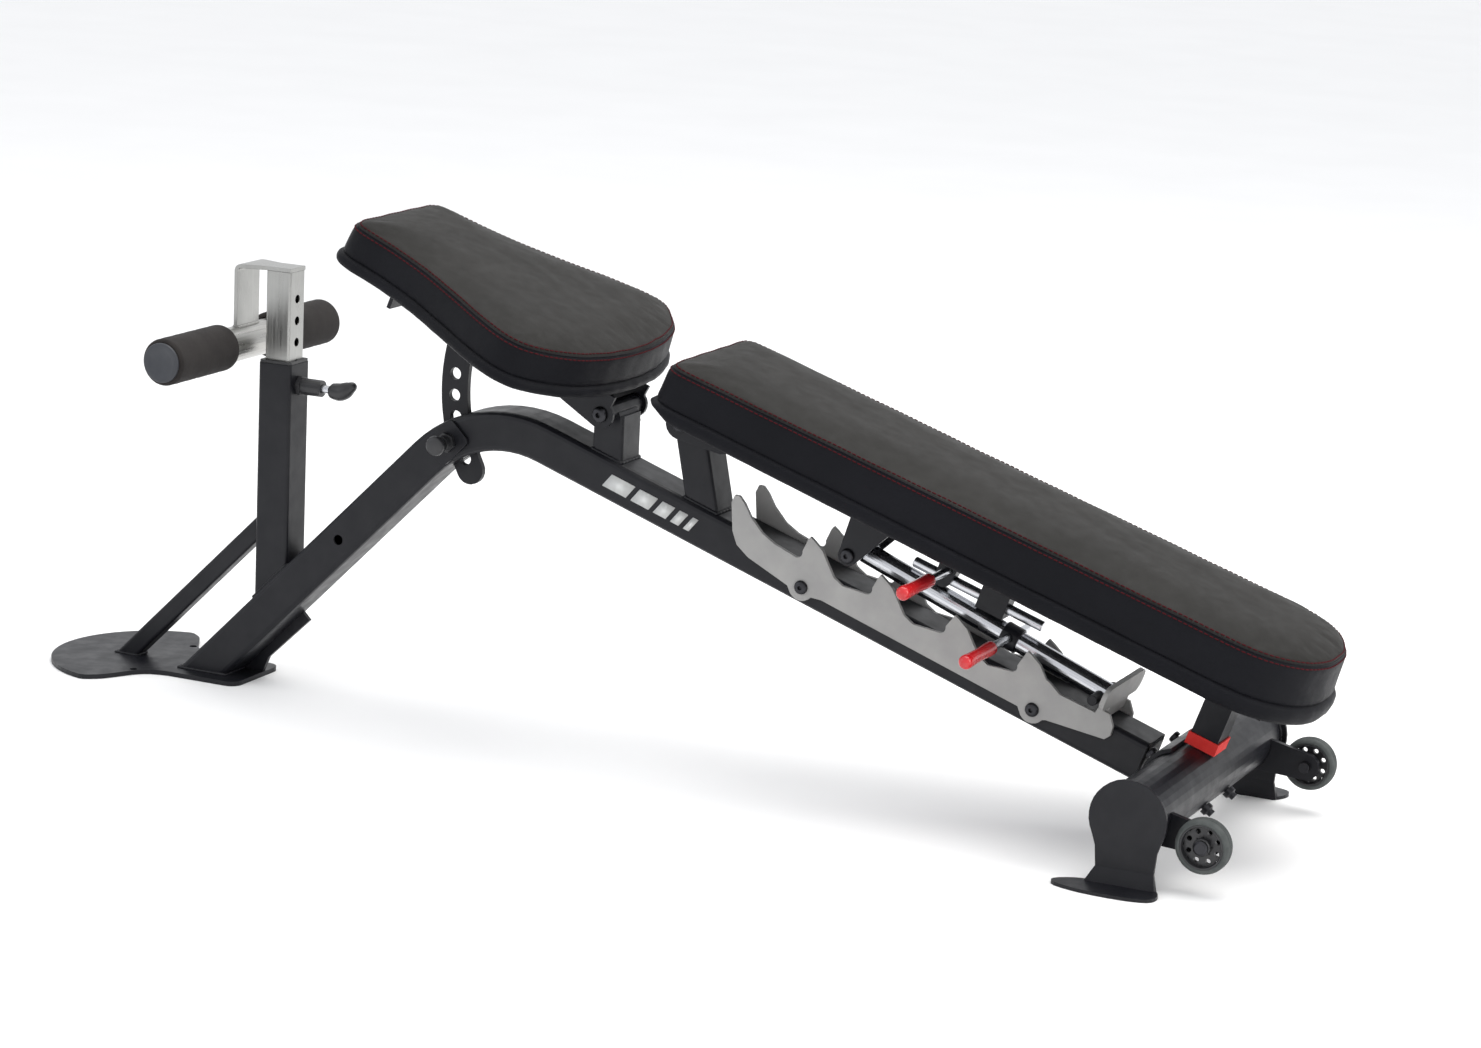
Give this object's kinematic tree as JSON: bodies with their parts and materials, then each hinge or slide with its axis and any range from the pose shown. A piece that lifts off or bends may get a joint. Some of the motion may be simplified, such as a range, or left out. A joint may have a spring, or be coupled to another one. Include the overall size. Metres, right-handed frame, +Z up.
{
  "type": "decline sit up bench",
  "caption": "Folding-angle decline sit-up bench: bent steel frame, leg roller, tilting seat, ladder-propped backrest and transport wheels.",
  "frame": {"origin": "on the floor, under the middle of the bench", "axes": "+X towards the transport wheels, away from the leg roller; +Z up; +Y to the user's left when lying with the feet at the roller"},
  "size_m": [1.7025, 0.5182, 0.6238],
  "materials": {
    "black_paint": "satin black powder coat",
    "grey_paint": "satin light warm grey powder coat",
    "zinc": "satin zinc plate",
    "chrome": "bright chrome plate",
    "black_bolt": "black zinc plate",
    "black_vinyl": "charcoal upholstery vinyl with a fine grain",
    "plywood": "black-stained plywood",
    "foam": "black closed-cell foam sleeve",
    "tyre": "grey-black wheel tread",
    "black_plastic": "black moulded plastic",
    "red_rubber": "red rubber shoe",
    "red_plastic": "glossy red moulded grip"
  },
  "bodies": {
    "frame": {"main_tube": "black_paint", "floor_plate": "black_paint", "foot_gusset": "black_paint", "foot_brace": "black_paint", "leg_post": "black_paint", "post_sleeve": "black_plastic", "post_pin_barrel": "black_plastic", "seat_pin_bracket": "black_paint", "seat_pin_barrel": "black_plastic", "seat_upright": "black_paint", "back_upright": "black_paint", "ladder_plate_right": "grey_paint", "ladder_plate_left": "grey_paint", "ladder_end_strap": "grey_paint", "ladder_bolt_front": "black_bolt", "ladder_bolt_rear": "black_bolt", "cross_tube": "black_paint", "rear_saddle": "black_paint", "saddle_bolt_right": "black_bolt", "saddle_bolt_left": "black_bolt", "foot_plate_right": "black_paint", "foot_plate_left": "black_paint", "wheel_arm_right": "black_paint", "wheel_arm_left": "black_paint", "wheel_axle_right": "black_bolt", "wheel_axle_left": "black_bolt"},
    "leg_roller": {"inner_post": "zinc", "roller_bracket": "zinc", "roller_tube": "zinc", "roller_cap_right": "black_plastic", "roller_cap_left": "black_plastic"},
    "foam_right": {"foam_grip_right": "foam"},
    "foam_left": {"foam_grip_left": "foam"},
    "post_pin": {"post_pin_plunger": "chrome", "post_pin_knob": "black_plastic"},
    "seat_pin": {"seat_pin_plunger": "chrome", "seat_pin_knob": "black_plastic"},
    "seat": {"seat_frame": "black_paint", "seat_arc_plate": "black_paint", "seat_board": "plywood", "seat_pad": "black_vinyl", "seat_hinge_bolt": "black_bolt"},
    "backrest": {"back_frame": "black_paint", "stop_cap": "red_rubber", "back_board": "plywood", "back_pad": "black_vinyl", "back_hinge_bolt": "black_bolt", "back_rod": "chrome", "back_rod_grip": "red_plastic", "guide_rod": "chrome", "strut_pivot_bolt": "black_bolt"},
    "strut": {"strut_frame": "chrome", "strut_collar": "black_paint", "strut_foot_bar": "black_paint", "strut_rod": "chrome", "strut_rod_grip": "red_plastic"},
    "wheel_right": {"wheel_hub_right": "black_plastic", "wheel_tyre_right": "tyre"},
    "wheel_left": {"wheel_hub_left": "black_plastic", "wheel_tyre_left": "tyre"}
  },
  "joints": [
    {"name": "backrest_tilt", "type": "hinge", "parent": "frame", "child": "backrest", "pos_m": [0.03675, 0, 0.414], "axis": [0, -1, 0], "range_deg": [0, 75]},
    {"name": "strut_swing", "type": "hinge", "parent": "backrest", "child": "strut", "pos_m": [0.25725, 0, 0.2837], "axis": [0, -1, 0], "range_deg": [-120.5, 0]},
    {"name": "seat_tilt", "type": "hinge", "parent": "frame", "child": "seat", "pos_m": [-0.06925, 0, 0.412], "axis": [0, -1, 0], "range_deg": [0, 20.7]},
    {"name": "leg_roller_height", "type": "slide", "parent": "frame", "child": "leg_roller", "axis": [0, 0, 1], "range_m": [-0.0816, 0.0544]},
    {"name": "post_pin_pull", "type": "slide", "parent": "frame", "child": "post_pin", "axis": [1, 0, 0], "range_m": [0, 0.01], "stiffness_N_per_m": 400, "springref_m": -0.003},
    {"name": "seat_pin_pull", "type": "slide", "parent": "frame", "child": "seat_pin", "axis": [0, -1, 0], "range_m": [0, 0.01], "stiffness_N_per_m": 400, "springref_m": -0.003},
    {"name": "foam_spin_right", "type": "hinge", "parent": "leg_roller", "child": "foam_right", "pos_m": [-0.59425, 0, 0.4327], "axis": [0, 1, 0], "continuous": true},
    {"name": "foam_spin_left", "type": "hinge", "parent": "leg_roller", "child": "foam_left", "pos_m": [-0.59425, 0, 0.4327], "axis": [0, 1, 0], "continuous": true},
    {"name": "wheel_spin_right", "type": "hinge", "parent": "frame", "child": "wheel_right", "pos_m": [0.76375, -0.195, 0.058], "axis": [0, 1, 0], "continuous": true},
    {"name": "wheel_spin_left", "type": "hinge", "parent": "frame", "child": "wheel_left", "pos_m": [0.76375, 0.195, 0.058], "axis": [0, 1, 0], "continuous": true}
  ],
  "couplings": [
    {"joint": "strut_swing", "follows": "backrest_tilt", "ratio": -1.6}
  ]
}
